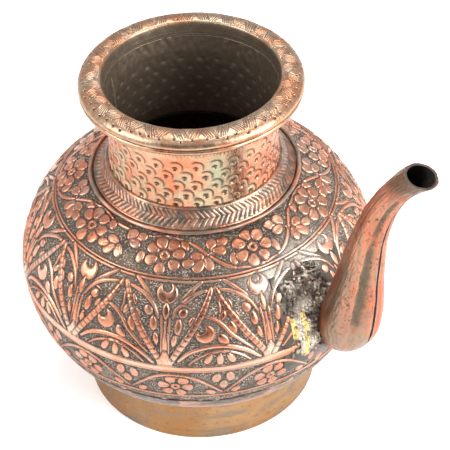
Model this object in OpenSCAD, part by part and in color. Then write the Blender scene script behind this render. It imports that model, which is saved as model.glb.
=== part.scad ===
// Spouted copper water jug: a beaten globular body on a brass foot ring, a wide
// sleeve neck with a heavy rolled rim, and a curved two-piece spout soldered on.
// Millimetres, +Z up. The origin is the centre of the foot's resting plane, on the
// vessel's axis. -Y is the front; the spout leans out between the front and +X.

/* [Body] */
// Greatest radius of the belly
belly_r = 95; // [80:1:120]
// Height of the belly's widest line above the table
belly_z = 84; // [75:1:110]
// Height of the shoulder's crown above the widest line
crown_rise = 60; // [50:1:75]
// Depth of the bowl below the widest line
bowl_drop = 70.7; // [60:0.1:74]
// Thickness of the beaten copper sheet
sheet_t = 1.6; // [1.2:0.1:2.4]

/* [Neck and rim] */
// Outer radius of the neck sleeve at its waist
neck_r = 43.3; // [36:0.1:48]
// Height of the mouth's lip above the table
mouth_z = 198; // [180:1:230]
// Outer radius of the rolled rim
rim_r = 56.5; // [50:0.5:64]
// Inner radius of the rim at the lip
mouth_r = 44.5; // [40:0.5:50]

/* [Foot] */
// Outer radius of the foot ring at the table
foot_r = 64; // [55:1:75]
// Thickness of the foot ring at the table
foot_t = 3.4; // [2.5:0.1:5]

/* [Spout] */
// Direction of the spout around the body, from the front (-Y) towards +X
spout_az = 45; // [0:1:90]
// Half-width of the spout's bulb
bulb_w = 15.8; // [12:0.1:18]
// Half-width of the spout's outlet
outlet_w = 6.6; // [6:0.1:9]
// Thickness of the spout's sheet
spout_t = 1.3; // [1:0.1:2]
// Depth of the flutes pressed along the spout, as a part of its half-width
flute = 0.08; // [0:0.01:0.15]
// Diameter of the hole that feeds the spout through the body wall
inlet_d = 14; // [8:1:18]

/* [Hidden] */
$fn = 96;

copper = "#D58F70";
worn_copper = "#C98A66";
pale_rim = "#D8B48C";
brass = "#D2A05C";
solder = "#8F8A78";
braze = "#B59A4A";

slip = 0.05;                     // clearance left between pieces that touch
crown_p = 3.4;  crown_q = 1.755; // fullness of the shoulder's curve
bowl_p = 2.94;  bowl_q = 1.78;   // fullness of the bowl's curve
neck_seat = 45;                  // radius of the shoulder's opening, around the sleeve
rim_z = mouth_z - 7.6;           // where the rim ring sits on the sleeve
bore_r = neck_r - sheet_t - 0.2; // straight inside of the neck sleeve
lerp_n = 26;                     // steps along each body curve

// Height above or below the widest line at which the body's skin has radius r.
function rise_at(r, big, h, p, q) = h * pow(max(0, 1 - pow(r / big, p)), 1 / q);
// Radius of the body's skin at a height, with the wall moved in by t.
function skin_r(z, t = 0) =
    z >= belly_z
    ? (belly_r - t) * pow(max(0, 1 - pow(min(1, (z - belly_z) / (crown_rise - t)), crown_q)),
                          1 / crown_p)
    : (belly_r - t) * pow(max(0, 1 - pow(min(1, (belly_z - z) / (bowl_drop - t)), bowl_q)),
                          1 / bowl_p);
// Points of the shoulder and of the bowl from the widest line inwards, to radius stop.
function step_r(i, big, stop) = stop + (big - stop) * cos(90 * i / lerp_n);
function crown(t, stop) = [for (i = [0:lerp_n]) let(r = step_r(i, belly_r - t, stop))
    [r, belly_z + rise_at(r, belly_r - t, crown_rise - t, crown_p, crown_q)]];
function bowl(t, stop) = [for (i = [0:lerp_n]) let(r = step_r(i, belly_r - t, stop))
    [r, belly_z - rise_at(r, belly_r - t, bowl_drop - t, bowl_p, bowl_q)]];
function back(a) = [for (i = [len(a) - 1:-1:0]) a[i]];

// Heights of the body's skin at a radius, on the shoulder and under the bowl.
function crown_z(r) = belly_z + rise_at(r, belly_r, crown_rise, crown_p, crown_q);
function bowl_z(r) = belly_z - rise_at(r, belly_r, bowl_drop, bowl_p, bowl_q);

// ---- spout: a swept, fluted tube in the plane through the axis at spout_az ----
// Control points of the spine: distance out from the axis, and height.
spine = [[89, 78.5], [123, 93], [96, 164.5], [141.2, 208.2]];
n_ring = 38;      // rings along the spout
n_arc = 15;       // steps round each half
t_first = 0.024;  // where the bulb comes out of the body, along the spine

function bez(a, t) = pow(1 - t, 3) * a[0] + 3 * pow(1 - t, 2) * t * a[1]
                     + 3 * (1 - t) * t * t * a[2] + pow(t, 3) * a[3];
function bez_dir(a, t) = let(d = 3 * pow(1 - t, 2) * (a[1] - a[0])
                     + 6 * (1 - t) * t * (a[2] - a[1]) + 3 * t * t * (a[3] - a[2])) d / norm(d);
// Half-width along the spine: root, bulb, taper, slim waist and flared outlet.
wide = [[0, 0.33], [0.03, 0.49], [0.07, 0.63], [0.12, 0.8], [0.17, 0.94], [0.22, 0.99], [0.26, 0.99],
        [0.36, 0.91], [0.5, 0.745], [0.65, 0.57], [0.8, 0.44], [0.92, 0.4], [1, outlet_w / bulb_w]];
function half_w(t) = bulb_w * lookup(t, wide);
// Flutes: rounded lobes on each half, with the deepest hollows 47 and 122 degrees from the ridge.
function lobe(a, t) = 1 - flute * (1 - 0.55 * t) * (0.5 + 0.5 * cos((a - 47) * 360 / 75));
// The outlet is spread sideways and cut almost level, so its outer lip reaches forward.
lip_t = 0.84;     // where the outlet's flare starts
lip_wide = 0.22;  // how much it spreads sideways
lip_slant = 0.62; // how far the lip reaches forward, for each mm out from the spine
function ease(t) = t <= 0 ? 0 : t >= 1 ? 1 : t * t * (3 - 2 * t);
// A point of one half's section: a is the angle from the outer ridge, side is +1 or -1.
function sec(t, a, side, inset) =
    let(c = bez(spine, t), d = bez_dir(spine, t), w = half_w(t) - inset,
        e = ease((t - lip_t) / (1 - lip_t)), s = lobe(a, t),
        u = max(slip, w * sin(a) * s * (1 + lip_wide * e)), v = w * cos(a) * s * (1 + 0.3 * lip_wide * e),
        rho = c[0] + (d[1] + d[0] * lip_slant * e) * v, z = c[1] - (d[0] - d[1] * lip_slant * e) * v)
    [rho * sin(spout_az) + side * u * cos(spout_az),
     -rho * cos(spout_az) + side * u * sin(spout_az), z];
function out_r(p) = norm([p[0], p[1]]);
function clear_of_skin(p, gap) = out_r(p) - skin_r(p[2]) - gap;
// Keep a point outside the body's skin by gap.
function lifted(p, gap) = let(r = out_r(p), k = skin_r(p[2]) + gap)
    r >= k ? p : [p[0] * k / r, p[1] * k / r, p[2]];
// Angle at which a ring's outline meets the body, found by halving; 180 if it is clear.
function meets(t, a0 = 0, a1 = 180, n = 12) =
    n == 0 ? (a0 + a1) / 2
    : let(m = (a0 + a1) / 2)
      clear_of_skin(sec(t, m, 1, 0), slip) > 0 ? meets(t, m, a1, n - 1) : meets(t, a0, m, n - 1);
function first_hit(t) = let(hits = [for (a = [10:5:180])
    if (clear_of_skin(sec(t, a, 1, 0), slip) < 0) a])
    len(hits) == 0 ? 180 : meets(t, hits[0] - 10, hits[0]);
function ring_t(j) = t_first + (1 - t_first) * j / n_ring;

// One loop of a half-shell: outside from the ridge to the back, inside on the way home.
function half_loop(t, side) = let(e = first_hit(t))
    concat([for (i = [0:n_arc]) lifted(sec(t, e * i / n_arc, side, 0), slip)],
           [for (i = [n_arc:-1:0]) lifted(sec(t, e * i / n_arc, side, spout_t), 2 * slip)]);

// Sweep of equal loops whose two ends are closed by strips across the wall.
module strip_sweep(loops, flip) {
    m = len(loops[0]);
    n = len(loops);
    pts = [for (l = loops) for (p = l) p];
    walls = [for (j = [0:n - 2]) for (i = [0:m - 1]) let(a = j * m + i, b = j * m + (i + 1) % m)
        each [[a, b, b + m], [a, b + m, a + m]]];
    ends = [for (i = [0:m / 2 - 2]) let(k = m - 1 - i, q = (n - 1) * m)
        each [[i, k, k - 1], [i, k - 1, i + 1], [q + i, q + k - 1, q + k], [q + i, q + i + 1, q + k - 1]]];
    faces = concat(walls, ends);
    polyhedron(pts, flip ? [for (f = faces) [f[2], f[1], f[0]]] : faces);
}

module spout_half(side) {
    strip_sweep([for (j = [0:n_ring]) half_loop(ring_t(j), side)], side > 0);
}

// Fillet of solder laid along one side of the spout's root, skin to sheet.
root_w = 7;       // how far the solder spreads over the skin
root_t0 = 0.03;
root_t1 = 0.24;
n_root = 18;
function root_loop(t, side) =
    let(e = min(first_hit(t), 150), a = sec(t, e, side, 0),
        k = root_w * (0.55 + 0.45 * sin(180 * (t - root_t0) / (root_t1 - root_t0))),
        w = half_w(t), far = sec(t, e, side, -k), high = sec(t, e - 50 * k / w, side, -0.15),
        mid = (far + high) / 2)
    [lifted(sec(t, e, side, -0.15), 3 * slip),
     let(s = (skin_r(far[2]) + 3 * slip) / out_r(far)) [far[0] * s, far[1] * s, far[2]],
     let(s = (skin_r(far[2]) + 0.9) / out_r(far)) [far[0] * s, far[1] * s, far[2]],
     lifted(mid, 1.6),
     lifted(high, 1.2)];
module loop_sweep(loops, flip) {
    m = len(loops[0]);
    n = len(loops);
    pts = [for (l = loops) for (p = l) p];
    walls = [for (j = [0:n - 2]) for (i = [0:m - 1]) let(a = j * m + i, b = j * m + (i + 1) % m)
        each [[a, b, b + m], [a, b + m, a + m]]];
    ends = [for (i = [1:m - 2]) each [[0, i + 1, i], [(n - 1) * m, (n - 1) * m + i, (n - 1) * m + i + 1]]];
    faces = concat(walls, ends);
    polyhedron(pts, flip ? [for (f = faces) [f[2], f[1], f[0]]] : faces);
}
module root_solder(side) {
    loop_sweep([for (j = [0:n_root]) root_loop(root_t0 + (root_t1 - root_t0) * j / n_root, side)],
               side < 0);
}

// ---- body ----
// The lower half of the body, beaten from one disc, with a flat bottom inside the foot.
module lower_bowl() {
    color(copper) rotate_extrude()
        polygon(concat(bowl(0, 0), back(bowl(sheet_t, 0))));
}

// The shoulder half, with the opening for the neck and the hole that feeds the spout.
module upper_shell() {
    color(copper) difference() {
        rotate_extrude()
            translate([0, slip]) polygon(concat(crown(0, neck_seat), back(crown(sheet_t, neck_seat))));
        rotate([0, 0, spout_az - 90]) translate([belly_r - 12, 0, belly_z + inlet_d / 2 + 3])
            rotate([0, 90, 0]) cylinder(h = 24, d = inlet_d);
    }
}

// Band of braze inside the body where its two halves meet.
module belly_seam_braze() {
    r = belly_r - sheet_t - 4 * slip;
    color(braze) rotate_extrude()
        polygon([[r - 0.1, belly_z - 3.5], [r, belly_z - 1.5], [r, belly_z + 1.5],
                 [r - 0.1, belly_z + 3.5], [r - 0.9, belly_z + 2], [r - 0.9, belly_z - 2]]);
}

// ---- neck, collar and rim ----
// Rolled sleeve of sheet: waisted outside, straight inside, flared at foot and mouth.
// Its two edges meet along a shallow groove inside, which the braze strip fills.
seam_az = 160;
seam_w = 3.2;
seam_h = 36;
seam_z = crown_z(neck_seat) + 9;
module neck_sleeve() {
    z0 = crown_z(neck_seat) - 1;
    color(copper) difference() {
        rotate_extrude()
            polygon([[neck_seat - 0.1, z0], [neck_seat - 0.2, z0 + 5], [neck_r + 0.9, z0 + 9],
                     [neck_r + 0.3, z0 + 14], [neck_r, z0 + 22], [neck_r + 0.1, z0 + 33],
                     [neck_r + 0.5, z0 + 40], [neck_r + 1.2, z0 + 45], [neck_r + 1.9, rim_z],
                     [bore_r + 1.7, rim_z], [bore_r + 0.8, rim_z - 2], [bore_r, rim_z - 5],
                     [bore_r, z0 + 9], [neck_seat - sheet_t - 0.6, z0 + 4],
                     [neck_seat - sheet_t - 0.4, z0]]);
        rotate([0, 0, seam_az]) translate([bore_r - 1, -seam_w / 2, seam_z])
            cube([1.7, seam_w, seam_h]);
    }
}

// Strip of braze that fills the sleeve's seam, flush with the bore.
module neck_seam_strip() {
    color(braze) rotate([0, 0, seam_az]) difference() {
        intersection() {
            translate([0, 0, seam_z + slip]) cylinder(h = seam_h - 2 * slip, r = bore_r + 0.65);
            translate([bore_r - 3, slip - seam_w / 2, 0]) cube([5, seam_w - 2 * slip, mouth_z]);
        }
        cylinder(h = mouth_z, r = bore_r + slip);
    }
}

// Chased collar that hides the joint of neck and shoulder.
module collar_band() {
    r = neck_seat + slip;
    color(copper) rotate_extrude()
        polygon(concat([[r + 7.3, crown_z(r + 7.3) + slip * 2], [r + 7, crown_z(r + 7) + 1.6],
                 [r + 4.6, crown_z(r + 4.6) + 2.8], [r + 2.6, crown_z(r + 2.6) + 4.6],
                 [r + 1.2, crown_z(r) + 6.2], [r, crown_z(r) + 7.4]],
                 [for (d = [0:1:7]) [r + d, crown_z(r + d) + slip * 2]]));
}

// Raised wire ring around the collar.
module collar_bead() {
    r = neck_seat + 8.9;
    color(worn_copper) rotate_extrude()
        translate([r, crown_z(r) + 1.25]) circle(r = 1.2, $fn = 32);
}

// Heavy rolled rim: rounded outside, sloping in to the mouth.
module rim_ring() {
    s = rim_r;
    color(pale_rim) rotate_extrude()
        polygon([[bore_r + 1.75, rim_z + slip], [mouth_r - 0.7, rim_z + 3.8],
                 [mouth_r, mouth_z - 0.6], [mouth_r + 0.6, mouth_z], [mouth_r + 2.4, mouth_z + 0.7],
                 [mouth_r + 4.6, mouth_z + 0.9], [s - 5, mouth_z + 0.6], [s - 2.6, mouth_z - 0.3],
                 [s - 0.9, mouth_z - 1.6], [s - 0.1, mouth_z - 3], [s, mouth_z - 3.8],
                 [s - 0.4, mouth_z - 4.7], [s - 1.6, mouth_z - 5.1], [s - 3.4, mouth_z - 5.4],
                 [s - 5, mouth_z - 6.6], [neck_r + 3.2, rim_z - 1.4], [neck_r + 1.95, rim_z - 0.4],
                 [neck_r + 1.95, rim_z + slip]]);
}

// Thin ring soldered in the angle under the rim.
module lip_bead() {
    color(worn_copper) rotate_extrude()
        translate([rim_r - 1.6, mouth_z - 6.65]) circle(r = 1.45, $fn = 32);
}

// ---- foot ----
// Turned brass ring, flared at the table and fitted to the curve of the bowl.
foot_top = foot_r - 3.8;
module foot_ring() {
    i = foot_top - 2.8;
    color(brass) rotate_extrude()
        polygon([[foot_r - foot_t, 0], [foot_r - 0.3, 0], [foot_r, 0.5], [foot_r - 0.1, 2],
                 [foot_r - 1, 6], [foot_r - 2.6, 13], [foot_top + 0.3, bowl_z(foot_top) - 4],
                 [foot_top, bowl_z(foot_top) - 3 * slip], [i, bowl_z(i) - 3 * slip],
                 [i + 0.2, bowl_z(i) - 3], [foot_r - foot_t - 2.4, 13], [foot_r - foot_t - 1, 6]]);
}

// Fillet of solder inside the foot.
module foot_solder() {
    i = foot_top - 2.85;
    color(solder) rotate_extrude()
        polygon([[i, bowl_z(i) - 4 * slip], [i, bowl_z(i) - 3], [i - 3, bowl_z(i - 3) - 4 * slip]]);
}

// ---- spout pieces ----
module spout_left_half() { color(worn_copper) spout_half(-1); }
module spout_right_half() { color(worn_copper) spout_half(1); }
module root_solder_left() { color(solder) root_solder(-1); }
module root_solder_right() { color(solder) root_solder(1); }

lower_bowl();
upper_shell();
belly_seam_braze();
neck_sleeve();
neck_seam_strip();
collar_band();
collar_bead();
rim_ring();
lip_bead();
foot_ring();
foot_solder();
spout_left_half();
spout_right_half();
root_solder_left();
root_solder_right();
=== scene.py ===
"""Spouted copper water jug: chased body, scale-patterned neck, hatched rim, fluted spout.

Shapes are worked out in millimetres in the CAD frame and written to meshes in metres.
Angles run round the body in degrees, 0 at the front (-Y), 90 at +X.
"""
import math

import bpy
import numpy as np
from mathutils import Matrix, Vector


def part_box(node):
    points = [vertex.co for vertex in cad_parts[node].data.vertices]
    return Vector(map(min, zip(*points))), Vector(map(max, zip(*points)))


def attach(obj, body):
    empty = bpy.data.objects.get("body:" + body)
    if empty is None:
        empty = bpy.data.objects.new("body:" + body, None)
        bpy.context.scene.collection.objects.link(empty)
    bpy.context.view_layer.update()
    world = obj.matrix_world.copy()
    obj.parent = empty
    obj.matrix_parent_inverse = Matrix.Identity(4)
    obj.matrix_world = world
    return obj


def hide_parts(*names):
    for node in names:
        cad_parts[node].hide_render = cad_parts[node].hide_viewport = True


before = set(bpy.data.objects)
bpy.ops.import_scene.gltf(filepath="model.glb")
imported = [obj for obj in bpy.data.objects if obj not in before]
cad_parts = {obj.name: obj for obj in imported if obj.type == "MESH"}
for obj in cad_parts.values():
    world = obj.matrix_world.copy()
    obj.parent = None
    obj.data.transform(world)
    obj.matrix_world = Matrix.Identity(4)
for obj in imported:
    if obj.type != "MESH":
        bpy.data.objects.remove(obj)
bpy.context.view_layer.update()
rng = np.random.default_rng(11)


def top(node, axis):
    """Highest coordinate of a CAD node along an axis, in mm."""
    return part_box(node)[1][axis] * 1000


def low(node, axis):
    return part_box(node)[0][axis] * 1000


def middle_z(node):
    return (low(node, 2) + top(node, 2)) / 2


# ---------------------------------------------------------------- dimensions, mm
BELLY_R = top("upper_shell", 0)          # greatest radius
BELLY_Z = top("lower_bowl", 2)           # its height: the two halves meet there
BOWL_DROP = BELLY_Z - low("lower_bowl", 2)
CROWN_RISE = 60.0 * BELLY_R / 95.0
CROWN_P, CROWN_Q = 3.4, 1.755            # fullness of the shoulder's curve
BOWL_P, BOWL_Q = 2.94, 1.78              # fullness of the bowl's curve
SHEET = 1.6
NECK_FOOT_Z = low("neck_sleeve", 2)
NECK_TOP_Z = top("neck_sleeve", 2)
NECK_R = 43.3
BORE_R = 41.5
NECK_SEAM = -110.0                       # where the sleeve's seam is, degrees
RIM_R = top("rim_ring", 0)
RIM_TOP = top("rim_ring", 2)
FOOT_R = top("foot_ring", 0)
SPOUT_AZ = math.radians(45.0)
RELIEF = 0.8                             # depth of the chased ground
COLLAR_S, SPLIT_S, BASE_S = 4.5, 31.75, 112.0    # arc lengths where the body's meshes begin and end


# ---------------------------------------------------------------- small maths
def smooth(a, b, x):
    t = np.clip((x - a) / (b - a), 0.0, 1.0)
    return t * t * (3 - 2 * t)


def catmull(pts, n=8):
    """Points on a smooth curve through pts, n to each span."""
    p = np.asarray(pts, float)
    p = np.vstack([2 * p[0] - p[1], p, 2 * p[-1] - p[-2]])
    t = (np.arange(n) / n)[:, None]
    out = [0.5 * (2 * p[i] + (p[i + 1] - p[i - 1]) * t
                  + (2 * p[i - 1] - 5 * p[i] + 4 * p[i + 1] - p[i + 2]) * t ** 2
                  + (3 * p[i] - p[i - 1] - 3 * p[i + 1] + p[i + 2]) * t ** 3)
           for i in range(1, len(p) - 2)]
    return np.vstack(out + [p[-2:-1]])


def resample(p, step):
    """The polyline p at even steps of about the given length, with its arc length."""
    s = np.r_[0, np.cumsum(np.hypot(*np.diff(p, axis=0).T))]
    t = np.linspace(0, s[-1], max(2, int(round(s[-1] / step)) + 1))
    return np.c_[np.interp(t, s, p[:, 0]), np.interp(t, s, p[:, 1])], t


def beaten(th, s, size, seed, waves=26):
    """Smooth unevenness of hand work, about -1 to 1, that closes round the circle."""
    g = np.random.default_rng(seed)
    out = np.zeros((len(s), len(th)))
    for _ in range(waves):
        m = g.integers(1, max(2, int(560 / size)))
        k = g.normal(0, 2 * math.pi / size)
        out += np.cos(np.radians(th)[None] * m + s[:, None] * k + g.uniform(0, 6.28))
    return out / math.sqrt(waves / 2) / 2


def rise(r, big, h, p, q):
    return h * np.maximum(0, 1 - (np.minimum(r, big) / big) ** p) ** (1 / q)


def crown_z(r, t=0.0):
    return BELLY_Z + rise(r, BELLY_R - t, CROWN_RISE - t, CROWN_P, CROWN_Q)


def bowl_z(r, t=0.0):
    return BELLY_Z - rise(r, BELLY_R - t, BOWL_DROP - t, BOWL_P, BOWL_Q)


def skin_r(z, t=0.0):
    """Radius of the body's skin at each height."""
    z = np.asarray(z, float)
    up = np.clip((z - BELLY_Z) / (CROWN_RISE - t), 0, 1) ** CROWN_Q
    dn = np.clip((BELLY_Z - z) / (BOWL_DROP - t), 0, 1) ** BOWL_Q
    return (BELLY_R - t) * np.where(z >= BELLY_Z, (1 - up) ** (1 / CROWN_P), (1 - dn) ** (1 / BOWL_P))


# The body's outline from the collar (radius 46) over the widest line to the middle of the bottom.
_t = np.linspace(0, 1, 3000)
_r1 = 46 + (BELLY_R - 46) * np.sin(_t * math.pi / 2)
_r2 = BELLY_R - (BELLY_R - 0.5) * (1 - np.cos(_t * math.pi / 2))
OUTLINE = np.vstack([np.c_[_r1, crown_z(_r1)], np.c_[_r2, bowl_z(_r2)][1:]])
ARC = np.r_[0, np.cumsum(np.hypot(*np.diff(OUTLINE, axis=0).T))]
WIDEST = float(np.interp(2999, np.arange(len(ARC)), ARC))


def along(s, arc, line, e):
    """Radius, height and outward normal at arc lengths s of a line of radii and heights."""
    r, z = (np.interp(s, arc, v) for v in line.T)
    dr, dz = (np.interp(s + e, arc, v) - np.interp(s - e, arc, v) for v in line.T)
    n = np.hypot(dr, dz)
    return r, z, -dz / n, dr / n


def skin(s):
    """Radius, height and outward normal of the body's skin at arc lengths s."""
    return along(s, ARC, OUTLINE, 0.4)


def offset(line, h):
    """Radii and heights of a line, given with its normals, moved out by h in each column."""
    r, z, nr, nz = (v[:, None] for v in line)
    return r + nr * h, z + nz * h


def around(r, turn, z):
    """Points at a radius, a turn from the front in radians, and a height."""
    return np.stack([r * np.sin(turn), -r * np.cos(turn), z + 0 * turn], -1)


def rotated(u, v, angle):
    a = math.radians(angle)
    return u * math.cos(a) + v * math.sin(a), -u * math.sin(a) + v * math.cos(a)


# ---------------------------------------------------------------- chasing
class Relief:
    """Raised work on a band: degrees round it, mm of arc down it. up is 0 ground, 1 raised."""

    def __init__(self, s, r, cols, ground=0.0):
        self.s, self.r = s, r
        self.th = np.arange(cols) * 360.0 / cols - 180.0
        self.mm = np.radians(r)                       # mm to a degree on each row
        self.up = np.full((len(s), cols), ground)
        self.cut = np.zeros((len(s), cols))
        self.tone = np.zeros((len(s), cols))

    def scale(self, s):
        return float(np.interp(s, self.s, self.mm))

    def window(self, th, s, wide, tall):
        """Grid cells within wide mm and tall mm of a point, with their offsets u, v in mm."""
        rows = np.nonzero(np.abs(self.s - s) < tall)[0]
        if not len(rows):
            return None
        d = (self.th - th + 180) % 360 - 180
        cols = np.nonzero(np.abs(d) < wide / self.mm[rows].min())[0]
        u = d[cols][None] * self.mm[rows][:, None]
        return np.ix_(rows, cols), u, (self.s[rows] - s)[:, None] + 0 * u

    def lay(self, at, d, crown=0.35, puff=2.0, level=1.0):
        """Raise the shape whose signed distance is d, with a dark chased line round it."""
        inside = smooth(0.22, -0.26, d)
        body = level * inside * (1 - crown + crown * np.sqrt(np.clip(-d / puff, 0, 1)))
        moat = np.exp(-((d - 0.32) / 0.26) ** 2)
        self.up[at] = np.maximum(self.up[at] * (1 - 0.75 * moat) * (1 - inside), body)
        self.cut[at] = np.maximum(self.cut[at] * (1 - inside), 0.9 * moat)

    def groove(self, at, d, width=0.25, depth=1.0):
        self.cut[at] = np.maximum(self.cut[at], depth * np.exp(-(d / width) ** 2))

    def turn(self, th, s, x, y):
        """The point x, y mm from a place, as an angle and an arc length."""
        return th + x / self.scale(s), s + y

    def shape(self, th, s, reach, distance, crown, puff):
        """Raise the shape of signed distance(u, v) at a place, if the band reaches it."""
        w = self.window(th, s, reach, reach)
        if w:
            at, u, v = w
            self.lay(at, distance(u, v), crown, puff)

    def petal(self, th, s, half, wide, angle, fat=0.22, crown=0.4, crease=False):
        """An egg-shaped petal; angle is its axis, in degrees from +u towards +v."""
        w = self.window(th, s, half + 2, half + 2)
        if w is None:
            return
        at, u, v = w
        x, y = rotated(u, v, angle)
        y = y / (1 + fat * np.clip(x / half, -1, 1))
        k0 = np.hypot(x / half, y / wide)
        k1 = np.hypot(x / half ** 2, y / wide ** 2) + 1e-9
        self.lay(at, k0 * (k0 - 1) / k1, crown, wide)
        for lift in (-0.42, 0.0, 0.42) if crease else ():
            edge = y - lift * (x + half) * 0.45
            self.groove(at, np.hypot(np.maximum(0, x + 0.1 * half), edge), 0.17, 0.6)

    def leaf(self, th, s, half, wide, angle, crown=0.35):
        """A leaf with two points."""
        big = (wide ** 2 + half ** 2) / (2 * wide)

        def distance(u, v):
            x, y = rotated(u, v, angle)
            return np.hypot(np.abs(y) + big - wide, x) - big

        self.shape(th, s, half + 1.5, distance, crown, wide)

    def ring(self, th, s, outer, inner, crown=0.3):
        mid, half = (outer + inner) / 2, (outer - inner) / 2
        self.shape(th, s, outer + 1.5, lambda u, v: np.abs(np.hypot(u, v) - mid) - half, crown, 0.9)

    def moon(self, th, s, big, bite, bx, by):
        """A disc with a round bite out of it, the bite's centre at bx, by mm."""
        self.shape(th, s, big + 1.5, lambda u, v: np.maximum(
            np.hypot(u, v) - big, bite - np.hypot(u - bx, v - by)), 0.32, 2.4)

    def line_distance(self, pts, widths, n):
        """Distance from each nearby cell to a smooth stroke's edge; pts in degrees and mm."""
        p = catmull(pts, n)
        ref, mid = p[:, 0].mean(), (p[:, 1].min() + p[:, 1].max()) / 2
        k = np.interp(p[:, 1], self.s, self.mm)
        q = np.c_[(p[:, 0] - ref) * k, p[:, 1] - mid]
        half = np.interp(np.linspace(0, 1, len(q)), np.linspace(0, 1, len(widths)), widths) / 2
        w = self.window(ref, mid, np.abs(q[:, 0]).max() + 4, np.abs(q[:, 1]).max() + 3)
        if w is None:
            return None
        at, u, v = w
        best = np.full(u.shape, 1e3)
        for a, b, ha, hb in zip(q[:-1], q[1:], half[:-1], half[1:]):
            e = b - a
            t = np.clip(((u - a[0]) * e[0] + (v - a[1]) * e[1]) / (e @ e + 1e-9), 0, 1)
            best = np.minimum(best, np.hypot(u - a[0] - t * e[0], v - a[1] - t * e[1])
                              - (ha + (hb - ha) * t))
        return at, best

    def stroke(self, pts, widths, crown=0.3, n=6):
        got = self.line_distance(pts, widths, n)
        if got:
            self.lay(*got, crown, max(widths) / 2)

    def scratch(self, pts, width=0.22, depth=1.0, n=4):
        got = self.line_distance(pts, [0, 0], n)
        if got:
            self.groove(*got, width, depth)

    def band(self, s0, s1, crown=0.3, level=1.0):
        """A raised line right round, between two arc lengths."""
        d = (np.abs(self.s - (s0 + s1) / 2) - (s1 - s0) / 2)[:, None] + 0 * self.up
        self.lay((slice(None), slice(None)), d, crown, (s1 - s0) / 2, level)

    def line(self, s0, width=0.25, depth=1.0):
        self.groove((slice(None), slice(None)), (self.s - s0)[:, None] + 0 * self.up, width, depth)


def flower(f, th, s, n, petal_r, half, wide, phase, ring=2.6, hole=1.0):
    """A rosette: egg-shaped petals round a pierced ring."""
    for i in range(n):
        a = phase + 360 * i / n + rng.uniform(-4, 4)
        reach = petal_r + rng.uniform(-0.25, 0.25)
        x, y = reach * math.cos(math.radians(a)), reach * math.sin(math.radians(a))
        f.petal(*f.turn(th, s, x, y), half * rng.uniform(0.93, 1.06), wide * rng.uniform(0.92, 1.08),
                a + rng.uniform(-6, 6), 0.28, 0.30, True)
    f.ring(th, s, ring, hole)


def leaves(f, th, s, spots, turn=1):
    """Oval leaves at (degrees, mm, half length, half width, angle) from a place; turn mirrors."""
    for dx, dy, half, wide, a in spots:
        f.petal(th + turn * (dx + rng.uniform(-0.25, 0.25)), s + dy + rng.uniform(-0.3, 0.3),
                1.14 * half * rng.uniform(0.94, 1.06), 1.2 * wide * rng.uniform(0.93, 1.07),
                a if turn > 0 else 180 - a, 0.15, 0.28, half > 2.7)


def chase_shoulder(f):
    """Rosettes with a winding stem between them that goes over one and under the next."""
    f.band(30.4, 31.6)
    f.band(31.9, 33.2)
    count = 9
    step = 360 / count
    spots = [(6.5, 13.2, 3.2, 2.2, -25), (1.6, 13.4, 3.1, 2.2, -80), (4.6, 17.6, 3.0, 2.0, 12),
             (-5.4, 20.0, 3.2, 2.1, 188), (-0.8, 23.8, 3.2, 2.0, 72), (-5.2, 25.0, 3.3, 2.2, 130),
             (-9.2, 23.2, 2.8, 1.9, 165), (10.0, 23.2, 3.0, 1.8, 95), (-10.8, 13.6, 2.6, 1.7, 240)]
    for k in range(count):
        th = -15.2 + step * k
        over = k % 2 == 0
        gap = th + step / 2
        turn = 1 if over else -1                     # falling or rising to the next flower
        before, beside, after = (11.2, 9.6, 11.0) if over else (28.2, 29.4, 28.4)
        f.stroke([(th - 9, before), (th, beside), (th + 9, after)], [1.2, 1.5, 1.2])
        y0, y1 = (11.2, 28.2) if over else (28.4, 11.0)
        if k == count - 1:                           # the pattern closes with two alike
            y1 = y0
        f.stroke([(th + 9, y0), (gap - 6, y0 + 0.16 * (y1 - y0)), (gap, (y0 + y1) / 2),
                  (gap + 6, y1 - 0.16 * (y1 - y0)), (gap + 11, y1)], [1.3, 1.9, 1.6, 1.9, 1.3])
        f.stroke([(gap + turn * x, y) for x, y in ((0.5, 18.5), (2.6, 15.6), (4, 14.4))], [1.0, 0.9, 0.7])
        f.stroke([(gap - turn * x, y) for x, y in ((0.5, 20.5), (2.6, 22.6), (5, 23.4))], [1.0, 0.9, 0.7])
        leaves(f, gap, 0, spots, turn)
        flower(f, th + rng.uniform(-0.3, 0.3), 20 + rng.uniform(-0.5, 0.5), 7, 6.9, 3.3, 2.9,
               rng.uniform(0, 50))


def ladder(f, pts, wide, pitch=3.3):
    """A strap with cross ticks, like a ladder."""
    f.stroke(pts, [wide * 0.7, wide, wide * 1.02, wide * 0.9], 0.12)
    p = catmull(pts, 24)
    x, y = p.T
    k = np.interp(y, f.s, f.mm)
    run = np.r_[0, np.cumsum(np.hypot(np.diff(x) * k[1:], np.diff(y)))]
    slope = np.gradient(y) / np.hypot(np.gradient(x) * k, np.gradient(y))
    for side in (-0.3, 0.3):
        f.scratch(list(zip((x + side * wide / k * slope)[6::16], y[6::16])), 0.16, 0.45)
    for d in np.arange(pitch, run[-1] - 3, pitch):
        d += rng.uniform(-0.35, 0.35)
        (th, th2), (s, s2) = (np.interp([d, d + 0.5], run, v) for v in (x, y))
        kk = f.scale(s)
        dx, dy = (th2 - th) * kk, s2 - s
        n = math.hypot(dx, dy) + 1e-9
        hx, hy = -dy / n * wide * 0.4, dx / n * wide * 0.4
        f.scratch([(th - hx / kk, s - hy), (th + hx / kk, s + hy)], 0.36, 1.15, 2)


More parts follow.
